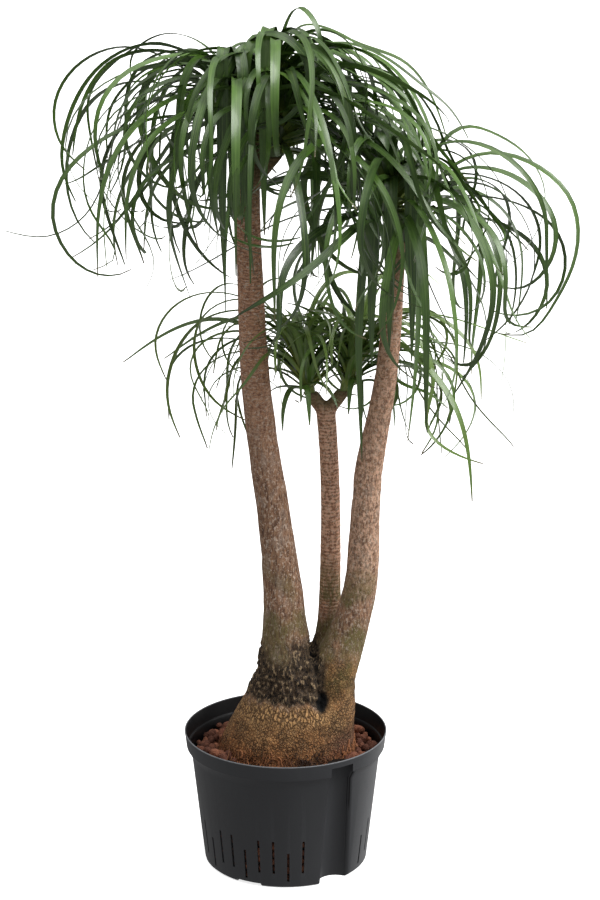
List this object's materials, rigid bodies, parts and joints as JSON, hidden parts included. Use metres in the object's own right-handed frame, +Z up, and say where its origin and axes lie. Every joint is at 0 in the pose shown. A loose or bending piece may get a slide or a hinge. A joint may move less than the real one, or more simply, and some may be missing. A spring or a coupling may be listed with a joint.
{
  "type": "potted ponytail palm",
  "caption": "Ponytail palm with a swollen caudex, tall bare stems and drooping tufts of strap leaves, standing in clay pebbles in a moulded culture pot.",
  "frame": {"origin": "on the ground, under the middle of the pot", "axes": "+Z up along the stems, +X to the right and -Y towards the viewer in the pictured view"},
  "size_m": [0.7488, 0.4714, 1.1951],
  "materials": {
    "pot_plastic": "satin anthracite, moulded",
    "clay": "fired clay, dry and dull",
    "bark": "grey-brown bark, fissured, with a net of corky cracks on the caudex",
    "leaf": "tough green strap leaf with a waxy sheen"
  },
  "bodies": {
    "root": {"culture_pot": "pot_plastic", "clay_pebbles": "clay", "trunk": "bark", "left_head_1": "leaf", "left_head_2": "leaf", "left_head_3": "leaf", "right_head_1": "leaf", "right_head_2": "leaf", "centre_head_1": "leaf", "centre_head_2": "leaf"}
  },
  "joints": []
}
